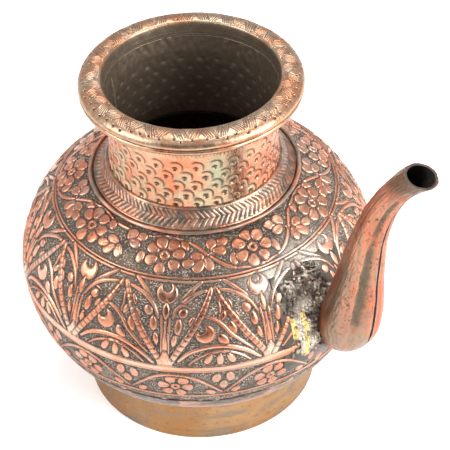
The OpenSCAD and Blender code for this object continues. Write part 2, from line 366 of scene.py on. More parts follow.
def chase_zigzag(f):
    """Eleven tents of ladder straps with moons, buds and sprays between them."""
    f.band(30.4, 31.6)
    f.band(31.9, 33.2)
    count = 11
    step = 360 / count
    half = step / 2
    for k in range(count):
        a = 4.9 + step * k + rng.uniform(-0.3, 0.3)       # point of the tent
        c = a + half                                      # middle of the moon between two tents
        j = rng.uniform(-0.5, 0.5, 12)

        def path(*pts, m=1):
            return [(a + m * x, s) for x, s in pts]

        for m in (-1, 1):
            f.stroke(path((4.2, 32.8), (7.6, 36.6 + j[0]), (11.2, 42.4), (14.0, 49.6), m=m),
                     [1.6, 2.3, 1.9, 1.0])
            f.stroke(path((1.0, 37.2), (4.8, 38.2 + j[1]), (8.8, 40.8), (12.0, 45.2), (14.2, 51.5), m=m),
                     [1.2, 1.7, 2.1, 1.7, 0.8])
        # inside the tent
        f.stroke(path((1.0, 39.0), (1.5, 46), (1.0, 52), (1.8, 58)), [1.5, 1.1, 1.0, 0.6])
        f.stroke(path((2.4, 39.5), (4.2, 46.5), (6.0, 53), (7.4, 60)), [1.0, 0.9, 0.9, 0.7])
        f.leaf(a + 4.9, 44.6 + j[2], 3.1, 1.3, 70)
        f.leaf(a + 2.6, 49.8, 3.2, 1.3, 110)
        f.leaf(a + 6.6, 50.4 + j[3], 3.1, 1.4, 62)
        f.petal(a + 5.0, 56.6 + j[4], 4.0, 2.1, 84, 0.1)
        f.petal(a + 9.0, 60.6, 3.7, 2.0, 78, 0.1)
        f.stroke(path((-6.2, 49), (-1.8, 50.8), (1.6, 54.6), (4.2, 60), (7.4, 65), (10.8, 70.5)),
                 [1.0, 1.7, 1.9, 1.8, 1.6, 0.9])
        f.leaf(a - 8.0, 52.6 + j[5], 2.9, 1.4, 115)
        f.leaf(a - 3.2, 45.4, 3.1, 1.3, 115)
        f.moon(a - 3.9, 58.8 + j[6], 4.9, 2.5, -2.0, -2.4)
        f.petal(a + 1.7, 63.0, 3.8, 2.3, 60, 0.1)
        f.leaf(a - 9.6, 62.4, 3.1, 1.5, 110)
        # the tent's ladders
        for m in (-1, 1):
            ladder(f, path((0.7, 36.4), (4.4, 48), (8.4, 58.4), (12.6, 69), (15.4, 77), m=m), 3.1)
        # under the tent: a hood with a three-leaf sprig
        f.stroke(path((-12.4, 74.5), (-9.2, 69.6), (-4.8, 66.9), (0, 66.2), (4.8, 67.8), (9.2, 71.6),
                      (12.8, 76.8)), [1.4, 2.2, 2.4, 2.2, 2.4, 2.2, 1.4])
        f.stroke(path((-9.4, 76.6), (-6.6, 72.6), (-3.0, 70.0), (0.4, 69.2), (4.2, 70.6), (7.6, 73.8),
                      (9.8, 77.2)), [0.8, 1.2, 1.3, 1.5, 1.3, 1.2, 0.8])
        f.petal(a - 3.2, 73.3, 3.4, 1.7, 118, 0.2)
        f.petal(a + 0.3, 73.9 + j[7] * 0.5, 3.8, 1.7, 92, 0.2)
        f.petal(a + 3.7, 73.8, 3.4, 1.7, 62, 0.2)
        # the moon between two tents, with its bud, leaves and stem
        f.stroke([(c - 1.4, 50), (c - 1.0, 60), (c - 0.7, 76)], [0.9, 1.4, 2.0])
        f.stroke([(c + 1.5, 51), (c + 1.1, 61), (c + 0.8, 76)], [0.9, 1.4, 2.0])
        f.stroke([(c, 49), (c, 60), (c, 77)], [1.0, 1.5, 3.0])
        f.stroke([(c, 40.5), (c, 43.0), (c, 45.0)], [5.0, 1.8, 0.3], 0.3)
        f.moon(c, 38.7 + j[8] * 0.5, 5.3, 2.5, rng.uniform(-1, 0.6), -3.0)
        f.leaf(c, 47.6, 4.7, 1.7, 90)
        f.stroke([(c + 2.4, 50.6), (c + 3.2, 46.6), (c + 5.4, 44.4), (c + 8.2, 45.6)], [0.9, 1.1, 1.2, 0.5])
        f.petal(c - 6.0, 48.0, 2.7, 2.2, 60 + 20 * j[9], 0.1)
        f.petal(c + 5.8, 48.2, 2.6, 2.2, 120, 0.1)
        f.petal(c - 4.0, 54.4, 3.8, 1.8, 84, 0.1)
        f.petal(c + 4.2, 55.0 + j[10], 4.3, 1.8, 97, 0.1)
        f.leaf(c - 2.9, 62.4, 3.6, 1.3, 80)
        f.leaf(c + 2.9, 63.0, 3.6, 1.3, 100)
        # the heel where straps and stem meet
        f.stroke([(c, 69.5), (c, 74), (c, 78.6)], [1.6, 5.2, 11.0], 0.12)
        for d in (-4.2, -2.6, -1.2, 1.3, 2.7, 4.3):
            f.scratch([(c + d * 0.25, 70), (c + d * 0.6, 74.2), (c + d, 78)], 0.16, 0.6)
        at, u, v = f.window(c, 74.5, 13, 9)
        f.tone[at] = np.maximum(f.tone[at], np.exp(-(u / 7.5) ** 2 - (v / 4.2) ** 2))
    f.band(77.8, 84)
    f.line(80.6, 0.3, 0.35)


def chase_flowers(f):
    """Rosettes under a wavy stem, on the widest part of the bowl."""
    f.band(76, 82.2)
    count = 12
    step = 360 / count
    for k in range(count):
        th = -9.0 + step * k + rng.uniform(-0.4, 0.4)
        gap = th + step / 2
        f.stroke([(th - 14.6, 100.6), (th - 10.5, 93), (th - 5.6, 86.4), (th, 84.2), (th + 5.6, 86.4),
                  (th + 10.5, 93), (th + 14.6, 100.6)], [1.0, 1.5, 1.9, 1.6, 1.9, 1.5, 1.0])
        leaves(f, gap, 0, [(-2.2, 86.6, 3.1, 1.9, 100), (2.3, 86.8, 3.1, 1.9, 80),
                           (0.0, 92.6, 3.0, 1.8, 90), (-4.2, 99.6, 2.5, 1.6, 40), (4.2, 99.6, 2.5, 1.6, 140)])
        flower(f, th, 93.8 + rng.uniform(-0.4, 0.4), 6, 6.2, 2.9, 2.7, rng.uniform(0, 50), 2.5, 0.9)
    f.band(103.4, 104.6)
    f.line(106.2, 0.35, 0.8)
    at, _, v = f.window(0, 110, 1e4, 6)                   # worn ground below the last line
    worn = smooth(0.55, 0.95, 0.5 + 0.5 * beaten(f.th, f.s, 7, 91)[at])
    f.up[at] = np.maximum(f.up[at], 0.5 * smooth(-3.4, -2.2, v) * worn)


# ---------------------------------------------------------------- meshes
def make(name, verts, faces_quads, faces_tris=None, attrs=None, sharp=None):
    """A smooth-shaded mesh object from arrays of points in mm and corner indices."""
    mesh = bpy.data.meshes.new(name)
    quads = np.asarray(faces_quads, np.int32).reshape(-1, 4)
    tris = np.asarray([] if faces_tris is None else faces_tris, np.int32).reshape(-1, 3)
    loops = np.r_[quads.ravel(), tris.ravel()]
    sizes = np.r_[np.full(len(quads), 4), np.full(len(tris), 3)].astype(np.int32)
    mesh.vertices.add(len(verts))
    mesh.vertices.foreach_set("co", (np.asarray(verts) / 1000).astype(np.float32).ravel())
    mesh.loops.add(len(loops))
    mesh.loops.foreach_set("vertex_index", loops)
    mesh.polygons.add(len(sizes))
    mesh.polygons.foreach_set("loop_start", np.r_[0, np.cumsum(sizes)[:-1]].astype(np.int32))
    mesh.polygons.foreach_set("use_smooth", np.ones(len(sizes), bool))
    mesh.update(calc_edges=True)
    mesh.validate()
    for key, values in (attrs or {}).items():
        layer = mesh.attributes.new(key, "FLOAT", "POINT")
        layer.data.foreach_set("value", np.asarray(values, np.float32).ravel())
    if sharp:
        mesh.set_sharp_from_angle(angle=math.radians(sharp))
    piece = bpy.data.objects.new(name, mesh)
    bpy.context.collection.objects.link(piece)
    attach(piece, "root")
    return piece


def grid_quads(rows, cols, wrap=False):
    """Corners of the faces of a grid that closes round its columns, and with wrap its rows."""
    i, j = np.meshgrid(np.arange(rows if wrap else rows - 1), np.arange(cols), indexing="ij")
    ni, nj = (i + 1) % rows, (j + 1) % cols
    return np.stack([i * cols + j, ni * cols + j, ni * cols + nj, i * cols + nj], -1).reshape(-1, 4)


def turned(name, loop_r, loop_z, cols, attrs, sharp=None, pole=None):
    """A body of revolution from rows of radii and heights, each a value or one per column.

    The rows run down the outside and up the inside. With a pole, they start and end at
    single points on the axis, at the two heights given.
    """
    rows = len(loop_r)
    th = np.radians(np.arange(cols) * 360.0 / cols - 180.0)
    r, z = (np.vstack([np.broadcast_to(x, cols) for x in loop]) for loop in (loop_r, loop_z))
    verts = around(r, th, z).reshape(-1, 3)
    tris = []
    if pole is not None:
        n = len(verts)
        verts = np.vstack([verts, [0, 0, pole[0]], [0, 0, pole[1]]])
        a = np.arange(cols)
        b = (a + 1) % cols
        last = n - cols
        tris = np.vstack([np.c_[np.full(cols, n), a, b], np.c_[last + a, np.full(cols, n + 1), last + b]])
        attrs = {k: np.r_[np.ravel(v), 0, 0] for k, v in attrs.items()}
    return make(name, verts, grid_quads(rows, cols, pole is None), tris, attrs, sharp)


def chased_piece(name, nodes, s0, s1, step, cols, chase):
    """One closed ring of the body's sheet: chased outside, plain inside."""
    s = np.linspace(s0, s1, int(round((s1 - s0) / step)) + 1)
    line = skin(s)
    f = Relief(s, line[0], cols)
    chase(f)
    fine = beaten(f.th, s, 3.0, 3) * 0.035
    h = -RELIEF * (1 - f.up) - 0.32 * f.cut + fine * (1.4 - f.up) - 0.06
    h += 0.12 * (beaten(f.th, s, 22, 5) - 0.6)
    r, z = offset(line, np.minimum(h, 0.0))
    ri, zi, nr, nz = skin(np.linspace(s1, s0, 8))
    th, s = f.th[None], s[:, None]
    marks = {"raised": f.up, "cut": f.cut, "tone": f.tone, "inside": 0 * f.up,
             # painted highlight above the spout's root, a painted dark reflection at the front, darker low on
             # the bowl
             "painted_glare": np.exp(-((th - 37) / 15) ** 2 - ((s - 37) / 9.5) ** 2),
             "painted_dark_reflection": np.exp(-((th - 2) / 15) ** 4 - ((s - 49) / 13) ** 4),
             "darker_low": smooth(78, 88, s) + 0 * f.up}
    attrs = {k: np.vstack([v, np.full((len(ri), cols), float(k == "inside"))]) for k, v in marks.items()}
    piece = turned(name, list(r) + list(ri - nr * SHEET), list(z) + list(zi - nz * SHEET), cols, attrs)
    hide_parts(*nodes)
    return piece


def bowl_piece():
    """The plain underside of the bowl, closed over the middle."""
    s = np.arange(BASE_S, ARC[-1] - 1.5, 1.1)
    cols = 420
    th = np.arange(cols) * 360.0 / cols - 180.0
    h = -0.25 - 0.16 * np.abs(beaten(th, s, 9, 21)) - 0.05 * beaten(th, s, 3, 22)
    h = h - 0.135 * smooth(5, 0, s - BASE_S)[:, None]
    r, z = offset(skin(s), h)
    ri, zi, nr, nz = skin(s[::-3])
    blank = np.zeros((len(ri), cols))
    worn = np.clip(0.5 + 0.5 * beaten(th, s, 12, 23), 0, 1)
    attrs = {"inside": np.vstack([blank + 1, 0 * worn]), "tone": np.vstack([blank, worn]),
             "sooty": np.vstack([blank, smooth(128, 116, s)[:, None] + 0 * worn])}
    # the rows go up the inside from the pole to the split line, then down the outside
    piece = turned("lower_bowl_base", list(ri - nr * SHEET) + list(r), list(zi - nz * SHEET) + list(z),
                   cols, attrs, pole=(float(zi[0] + SHEET), float(OUTLINE[-1, 1] - 0.2)))
    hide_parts("lower_bowl")
    return piece


def bore(z):
    """Radius of the neck's inside, which opens a little under the rim."""
    lo, hi = NECK_FOOT_Z, NECK_TOP_Z
    return np.interp(z, [lo, lo + 4, lo + 9, hi - 16, hi - 8, hi],
                     [43.0, 42.8, BORE_R + 0.1, BORE_R + 0.1, BORE_R + 0.7, BORE_R + 2.1])


def seam_strip():
    """The strip of braze in the sleeve's seam, following the bore."""
    rows = 60
    z = np.linspace(low("neck_seam_strip", 2) + 0.1, top("neck_seam_strip", 2) - 0.1, rows)[:, None]
    wave = 0.35 * np.sin(z * 0.7) + 0.2 * np.sin(z * 1.9 + 1)
    u, dr = np.array([(-1.1, -0.10), (-0.4, -0.24), (0.4, -0.24), (1.1, -0.10), (1.1, 0.5), (-1.1, 0.5)]).T
    verts = around(bore(z) + dr, math.radians(NECK_SEAM) + (u * 0.7 + wave) / BORE_R, z).reshape(-1, 3)
    n = len(verts)
    caps = [[0, 1, 2, 3], [0, 3, 4, 5], [n - 3, n - 4, n - 5, n - 6], [n - 1, n - 2, n - 3, n - 6]]
    piece = make("neck_seam_strip_line", verts, np.vstack([grid_quads(rows, len(u)), caps]), sharp=40,
                 attrs={"inside": np.ones(n), "cut": np.full(n, 0.9)})
    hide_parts("neck_seam_strip")
    return piece


def neck_piece():
    """The sleeve: punched scales outside, their backs as dimples inside."""
    cols = 680
    z0 = NECK_FOOT_Z
    knots = [(45.0, z0), (44.8, z0 + 5), (NECK_R + 0.9, z0 + 9), (NECK_R + 0.3, z0 + 14),
             (NECK_R, z0 + 22), (NECK_R + 0.1, z0 + 33), (NECK_R + 0.5, z0 + 40),
             (NECK_R + 1.2, z0 + 45), (NECK_R + 1.9, NECK_TOP_Z)]
    out, s = resample(catmull(knots, 12)[::-1], 0.42)
    z = out[:, 1]
    f = Relief(s, out[:, 0], cols, ground=1.0)
    scale_z = [171.4, 165.6, 159.9, 154.5, 149.4]         # heights of the rows of scales
    count = 28
    dots = np.zeros_like(f.up)

    def at_height(height):
        return float(np.interp(-height, -z, s))

    for row, zz in enumerate(scale_z):
        for k in range(count):
            th = (k + 0.5 * (row % 2)) * 360 / count + rng.uniform(-0.7, 0.7)
            at, u, v = f.window(th, at_height(zz) + rng.uniform(-0.35, 0.35), 7, 7)
            ang = np.degrees(np.arctan2(-(v + 0.5), u))
            r_arc = rng.uniform(3.1, 3.6)
            far = np.hypot(u - 0.3, v + 0.3)
            on = smooth(-42, -5, ang) * smooth(142, 96, ang)
            f.cut[at] = np.maximum(f.cut[at], on * np.exp(-((far - r_arc) / 0.42) ** 2))
            lip = smooth(r_arc + 0.2, r_arc - 0.5, far) * on
            f.up[at] -= 0.28 * lip * smooth(0.5, r_arc, np.hypot(u, v))
            dot = np.exp(-(np.hypot(u * 0.9, v) / rng.uniform(0.95, 1.15)) ** 4)
            dots[at] = np.maximum(dots[at], dot)
    s0 = at_height(180.4)                                 # hatched strip under the rim
    for k in range(150):
        th = k * 360 / 150
        f.scratch([(th, s0 - 2.6), (th + rng.uniform(0.4, 1.4), s0 + rng.uniform(1.0, 2.4))], 0.2, 0.5, 2)
    for zz in (146.6, 145.2):
        f.line(at_height(zz), 0.3, 0.8)
    h = -0.42 * f.cut - 0.75 * dots + 0.5 * (f.up - 1) + 0.09 * (beaten(f.th, s, 12, 31) - 1)
    h += 0.03 * beaten(f.th, s, 2.5, 32)
    rr, zz = offset(along(s, s, out, 0.6), h)
    # inside, from the foot up, with the backs of the punch marks standing proud
    zi = np.r_[z0, z0 + 3, np.linspace(z0 + 8, NECK_TOP_Z - 0.25, 60), NECK_TOP_Z - 0.03]
    th = f.th[None]
    bumps = np.zeros((len(zi), cols))
    for row, zc in enumerate(scale_z + [176.8]):
        phase = 0.5 * (row % 2) * 360 / count
        d = (th - phase + 180 / count) % (360 / count) - 180 / count
        bumps += np.exp(-((d * math.radians(BORE_R)) / 1.5) ** 2 - ((zi[:, None] - zc) / 0.9) ** 2)
    inner = bore(zi)[:, None] + 0.28 * bumps + 0.12 * beaten(f.th, zi, 8, 33)
    blank = np.zeros_like(bumps)
    under_rim = (np.arange(len(s)) < 3)[:, None] + 0.0 * f.up
    patina = np.exp(-(((th - 15) / 9.5) ** 2) - ((z[:, None] - 166) / 17) ** 4)
    attrs = {"cut": np.vstack([np.maximum(np.maximum(f.cut, dots), under_rim), bumps]),
             "inside": np.vstack([under_rim, blank + 1]), "patina": np.vstack([patina, blank]),
             "shade": np.vstack([np.exp(-((th - 29) / 7.5) ** 2) + 0 * f.up, blank])}
    piece = turned("neck_sleeve_scaled", list(rr) + list(inner), list(zz) + list(zi), cols, attrs)
    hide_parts("neck_sleeve")
    return piece


def section_piece(name, nodes, knots, cols, step, work=None, n=3, wave=0.1, seed=50, sharp=None,
                  within=0.0):
    """A closed ring swept from a smooth closed section, with work(relief) chased into it.

    Parts of it at a radius less than within are marked as the dark inside.
    """
    p = np.asarray(knots, float)
    pts, s = resample(catmull(np.vstack([p[-2:], p, p[:3]]), n)[2 * n:-2 * n], step)
    pts, s = pts[:-1], s[:-1]
    d = np.roll(pts, -1, 0) - np.roll(pts, 1, 0)
    k = np.hypot(*d.T)
    f = Relief(s, pts[:, 0], cols, ground=1.0)
    if work:
        work(f, pts)
    h = -0.32 * f.cut + 0.5 * (f.up - 1) + wave * (beaten(f.th, s, 14, seed) - 0.9)
    if wave > 0.02:
        h += 0.02 * beaten(f.th, s, 3, seed + 1)
    r, z = offset((*pts.T, -d[:, 1] / k, d[:, 0] / k), h)
    dark = smooth(within + 0.5, within - 0.5, pts[:, :1]) + 0 * f.up
    piece = turned(name, list(r), list(np.maximum(0.0, z)), cols,
                   {"cut": f.cut, "tone": f.tone, "inside": dark}, sharp)
    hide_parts(*nodes)
    return piece


def arc_at(pts, s, r, z):
    """Arc length of the section's point nearest to a radius and height."""
    return float(s[np.argmin(np.hypot(pts[:, 0] - r, pts[:, 1] - z))])


def collar_work(f, pts):
    """Two rows of slanting strokes that meet as a herringbone."""
    lo, mid, hi = (arc_at(pts, f.s, *p) for p in ((51.7, 141.5), (48.7, 144.5), (46.2, 147.4)))
    for a, b, lean in ((hi, mid, 1), (mid, lo, -1)):
        for k in range(112):
            th = k * 360 / 112 + rng.uniform(-0.3, 0.3)
            bend = [(th - 1.5 * lean, a + 0.2), (th + 0.5 * lean, (a + b) / 2), (th + 1.9 * lean, b - 0.2)]
            f.scratch(bend, rng.uniform(0.34, 0.46), rng.uniform(0.85, 1.2), 2)
    for s0 in (hi - 0.3, mid, lo + 0.2):
        f.line(s0, 0.28, 0.75)


def rim_work(f, pts):
    """Patches of fine hatched lines that lean in turn, and rows of punch dots."""
    a, b = sorted((arc_at(pts, f.s, 45.6, RIM_TOP - 0.6), arc_at(pts, f.s, RIM_R - 1.3, RIM_TOP - 2.4)))

    def dot(th, s, size, width, depth):
        at, u, v = f.window(th, s, 2, 2)
        f.groove(at, np.maximum(0, np.hypot(u, v) - size), width, depth)

    groups, lines = 44, 6
    for g in range(groups):
        th0 = g * 360 / groups + rng.uniform(-0.5, 0.5)
        lean = 1 if g % 2 else -1
        for i in range(lines):
            x = th0 + (i - 2.5) * 1.36 + rng.uniform(-0.14, 0.14)
            t = abs(i - 2.5) / 2.5
            s0, s1 = a + 0.2 + 1.4 * t * rng.random(), b - 2.4 - 2.6 * t * rng.random()
            f.scratch([(x - 1.7 * lean, s0), (x + 1.7 * lean, s1)], rng.uniform(0.19, 0.25),
                      rng.uniform(0.7, 1.1), 2)
    for g in range(64):
        th0, s0 = g * 360 / 64 + rng.uniform(-1.2, 1.2), rng.uniform(b - 2.6, b - 0.6)
        dot(th0, s0, 0.38, 0.28, 1.7)
        if g % 3 == 0:
            dot(th0 + rng.uniform(-2, 2), rng.uniform(a + 1, b - 3), 0.26, 0.24, 1.3)
    f.tone[:] = np.clip(0.5 + 0.5 * beaten(f.th, f.s, 20, 61), 0, 1)
    joint = np.hypot(pts[:, 0] - 43.6, pts[:, 1] - (RIM_TOP - 8.3)) < 1.5
    f.cut[joint] = 1.0


def foot_work(f, pts):
    """Turning lines and short scratches in the brass."""
    for z, w, d in ((1.7, 0.25, 0.5), (5.0, 0.35, 0.35), (15.0, 0.3, 0.25), (20.0, 0.3, 0.35)):
        f.line(arc_at(pts, f.s, FOOT_R - 0.22 * z, z), w, d)
    for _ in range(46):
        th, s = rng.uniform(-180, 180), rng.uniform(f.s[0], f.s[-1] * 0.5)
        long = rng.uniform(2, 9)
        f.scratch([(th, s), (th + long, s + rng.uniform(-1, 1))], 0.18, rng.uniform(0.2, 0.6), 2)


# ---------------------------------------------------------------- spout
SEAM_TURN = 9.0                          # degrees the open seam is turned from the spout's plane
SPOUT_START = 0.024                      # how far along its spine the spout comes out of the body
SPOUT_WALL = 1.3
SPINE = np.array([[89.0, 78.5], [123.0, 93.0], [96.0, 164.5], [141.2, 208.2]])
WIDE_T = [0, 0.03, 0.07, 0.12, 0.17, 0.22, 0.26, 0.36, 0.5, 0.65, 0.8, 0.92, 1.0]
WIDE_W = [5.2, 7.7, 10.0, 12.6, 14.8, 15.7, 15.9, 14.4, 11.8, 9.0, 7.0, 6.3, 6.6]


def spine(t):
    t = np.asarray(t, float)[..., None]
    p = SPINE
    c = (1 - t) ** 3 * p[0] + 3 * (1 - t) ** 2 * t * p[1] + 3 * (1 - t) * t * t * p[2] + t ** 3 * p[3]
    d = 3 * (1 - t) ** 2 * (p[1] - p[0]) + 6 * (1 - t) * t * (p[2] - p[1]) + 3 * t * t * (p[3] - p[2])
    return c, d / np.linalg.norm(d, axis=-1, keepdims=True)


def half_width(t):
    """Half-width along the spout, eased between the table's places."""
    fine = np.linspace(0, 1, 400)
    w = np.interp(fine, WIDE_T, WIDE_W)
    k = np.exp(-np.linspace(-2, 2, 31) ** 2)
    w = np.convolve(np.pad(w, 15, mode="edge"), k / k.sum(), mode="valid")
    return np.interp(t, fine, w)


def from_seam(a, side):
    """Degrees round the spout from its open seam, which lies a little off the outer ridge."""
    return a + SEAM_TURN * (1 - a / 180) * (-side)


def spout_point(t, a, side, inset, lobes=True):
    """Points of one half: a is degrees round from the outer ridge, side is -1 or 1."""
    c, d = spine(t)
    w = half_width(t) - inset
    e = smooth(0.84, 1.0, np.asarray(t, float))           # how far the outlet flares, 0 to 1
    s = 1.0
    if lobes:
        a = from_seam(a, side)
        b = np.abs(a)
        deep = 0.17 * smooth(0.16, 0.36, t) * (1 - 0.45 * t) * (1 - 0.7 * e)
        s = 1 - deep * smooth(18, 50, b) * smooth(64, 54, b) - 0.5 * deep * np.exp(-((b - 122) / 13) ** 2)
        s = s - 0.05 * np.exp(-((b - SEAM_TURN * (side < 0)) / 4) ** 2) * (1 - e) * smooth(0.22, 0.28, t)
        s = s + 0.012 * np.sin(t * 31 + 2) * smooth(0.3, 0.5, t) * (1 - e)
    gap = 0.012 + 0.06 * smooth(0.22, 0.27, t)            # the seam gapes a little above the bulb
    u = w * np.sin(np.radians(a)) * s * (1 + 0.22 * e) + gap
    v = w * np.cos(np.radians(a)) * s * (1 + 0.066 * e)
    slant = 0.62 * e
    rho = c[..., 0] + (d[..., 1] + d[..., 0] * slant) * v
    z = c[..., 1] - (d[..., 0] - d[..., 1] * slant) * v
    sin, cos = math.sin(SPOUT_AZ), math.cos(SPOUT_AZ)
    return np.stack([rho * sin + side * u * cos, -rho * cos + side * u * sin, z], -1)


def lifted(p, gap):
    """Points kept outside the body's skin."""
    r = np.hypot(p[..., 0], p[..., 1])
    k = np.maximum(1.0, (skin_r(p[..., 2]) + gap) / np.maximum(r, 1e-6))
    return np.stack([p[..., 0] * k, p[..., 1] * k, p[..., 2]], -1)


def meeting_angle(t):
    """Degrees from the ridge at which the spout's skin goes into the body's, or 180."""
    a = np.arange(0.0, 180.5, 1.0)
    p = spout_point(np.full_like(a, t), a, 1, 0, lobes=False)
    clear = np.hypot(p[:, 0], p[:, 1]) - skin_r(p[:, 2])
    hit = np.nonzero(clear < 0)[0]
    return 180.0 if not len(hit) else max(4.0, float(a[hit[0]]))


def spout_half(side, name, node):
    """Half of the spout as a closed shell, open where it meets the body."""
    rings, arcs = 200, 92
    ts = np.linspace(SPOUT_START, 1, rings)
    ends = np.convolve(np.pad([meeting_angle(t) for t in ts], 2, mode="edge"), np.ones(5) / 5, mode="valid")
    f = np.linspace(0, 1, arcs)
    t = ts[:, None] + 0 * f[None]
    a = ends[:, None] * f[None]
    dent = beaten(np.linspace(-180, 180, arcs, endpoint=False), ts * 150, 16, 71 + side)
    outer = lifted(spout_point(t, a, side, 0.13 * dent + 0.12), 0.04)
    inner = lifted(spout_point(t, a, side, SPOUT_WALL), 0.1)
    verts = np.concatenate([outer, inner[:, ::-1]], 1).reshape(-1, 3)
    m = 2 * arcs
    k = np.arange(arcs - 1)
    cap = np.stack([k, k + 1, m - 2 - k, m - 1 - k], -1)
    quads = np.vstack([grid_quads(rings, m), cap, (rings - 1) * m + cap[:, ::-1]])
    if side < 0:
        quads = quads[:, ::-1]
    around_seam = from_seam(a, side)
    valley = (smooth(16, 48, around_seam) * smooth(68, 54, around_seam)
              * smooth(0.24, 0.36, t) * smooth(0.97, 0.86, t))
    if side < 0:
        second = 0.8 * np.exp(-((around_seam - 119) / 5) ** 2)
        valley = np.maximum(valley, second * smooth(0.5, 0.62, t) * smooth(0.95, 0.88, t))
    seam = np.exp(-(a / 4.5) ** 2) * smooth(0.235, 0.27, t) * smooth(0.96, 0.9, t)
    blank = 0 * a
    marks = {"valley": (valley, blank), "seam": (seam, blank), "along": (t, t),
             "inside": (blank, blank + 1)}
    piece = make(name, verts, quads, sharp=62,
                 attrs={key: np.concatenate([x, y[:, ::-1]], 1) for key, (x, y) in marks.items()})
    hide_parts(node)
    return piece


def root_line():
    """Where the spout goes into the body: angles from the spout's plane, and arc lengths."""
    for t in np.linspace(SPOUT_START, 0.27, 40):
        x, y, z = spout_point(np.array(t), np.array(min(meeting_angle(t), 170)), 1, 0)
        yield (math.degrees(math.atan2(x, -y)) - math.degrees(SPOUT_AZ),
               float(np.interp(-z, -OUTLINE[:, 1], ARC)))


def root_solder(side, name, node):
    """Lumps and runs of solder along the joint of spout and body, with streaks of yellow braze."""
    ths = np.linspace(-19.5, -0.1, 190) if side < 0 else np.linspace(0.1, 13, 130)
    ss = np.linspace(38, 98, 200)
    S, T = np.meshgrid(ss, ths, indexing="ij")
    line = skin(ss)
    mm = np.radians(line[0])[:, None]
    near = np.full(S.shape, 1e3)                          # distance from the joint
    for fth, fs in root_line():
        near = np.minimum(near, np.hypot((T - side * fth) * mm, S - fs))
    big = beaten(ths, ss, 9, 81 + side, 30)
    runs = beaten(ths * 3.2, ss * 0.8, 7, 85 + side, 30)
    small = beaten(ths, ss, 3.2, 83 + side, 30)
    grain = beaten(ths, ss, 1.5, 87 + side, 40)
    # the spread: wide towards the front and upwards, thin on the far side
    if side < 0:
        left = -15.5 + 1.6 * big + 1.0 * runs
        spread = (smooth(-1.2, 1.2, T - left) * smooth(40.5, 44.5, S + 1.8 * small)
                  * smooth(89, 83, S + 2 * big))
    else:
        spread = smooth(1.5, -1.0, near - 4.0 - 1.5 * big)
    ridge = np.exp(-(near / 3.2) ** 2)
    h = spread * (0.95 + 1.0 * big + 1.1 * np.abs(runs) + 0.42 * small + 0.12 * grain) + 1.5 * ridge
    h = h * np.maximum(spread, ridge) - 0.42 * (1 - np.maximum(spread, smooth(5, 2.5, near)))
    streak = 0 * h
    braze = ((-12.0, -0.02, 58, 88, 0.70), (-15.4, 0.03, 58, 76, 0.65)) if side < 0 else ()
    for t0, lean, s0, s1, w in braze:
        d = T - t0 - lean * (S - 70) - 0.22 * runs - 0.12 * small
        streak = np.maximum(streak, np.exp(-(d / w) ** 4) * smooth(s0, s0 + 4, S + 2 * small)
                            * smooth(s1, s1 - 4, S + 2 * small))
    h += 0.35 * streak
    down, out = (smooth(0, 3, np.arange(len(x))) for x in (ss, ths))    # sinks into the body at its edges
    fade = (down * down[::-1])[:, None] * out[None, ::-side]
    h = np.clip(h * fade - 0.95 * (1 - fade), -0.95, 3.0)
    turn = np.radians(T + math.degrees(SPOUT_AZ))
    shells = []
    for lift in (h, np.full_like(h, -1.3)):
        r, z = offset(line, lift)
        shells.append(around(r, turn, z).reshape(-1, 3))
    idx = np.arange(h.size).reshape(h.shape)
    front = np.stack([idx[:-1, :-1], idx[1:, :-1], idx[1:, 1:], idx[:-1, 1:]], -1).reshape(-1, 4)
    edge = np.r_[idx[:-1, 0], idx[-1, :-1], idx[:0:-1, -1], idx[0, :0:-1]]
    after = np.roll(edge, -1)
    sides = np.stack([after, edge, edge + h.size, after + h.size], -1)
    marks = {"braze": streak, "lump": h, "shade": np.exp(-(near / 4.5) ** 2)}
    piece = make(name, np.vstack(shells), np.vstack([front, front[:, ::-1] + h.size, sides]),
                 attrs={key: np.r_[v.ravel(), 0 * v.ravel()] for key, v in marks.items()})
    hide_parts(node)
    return piece


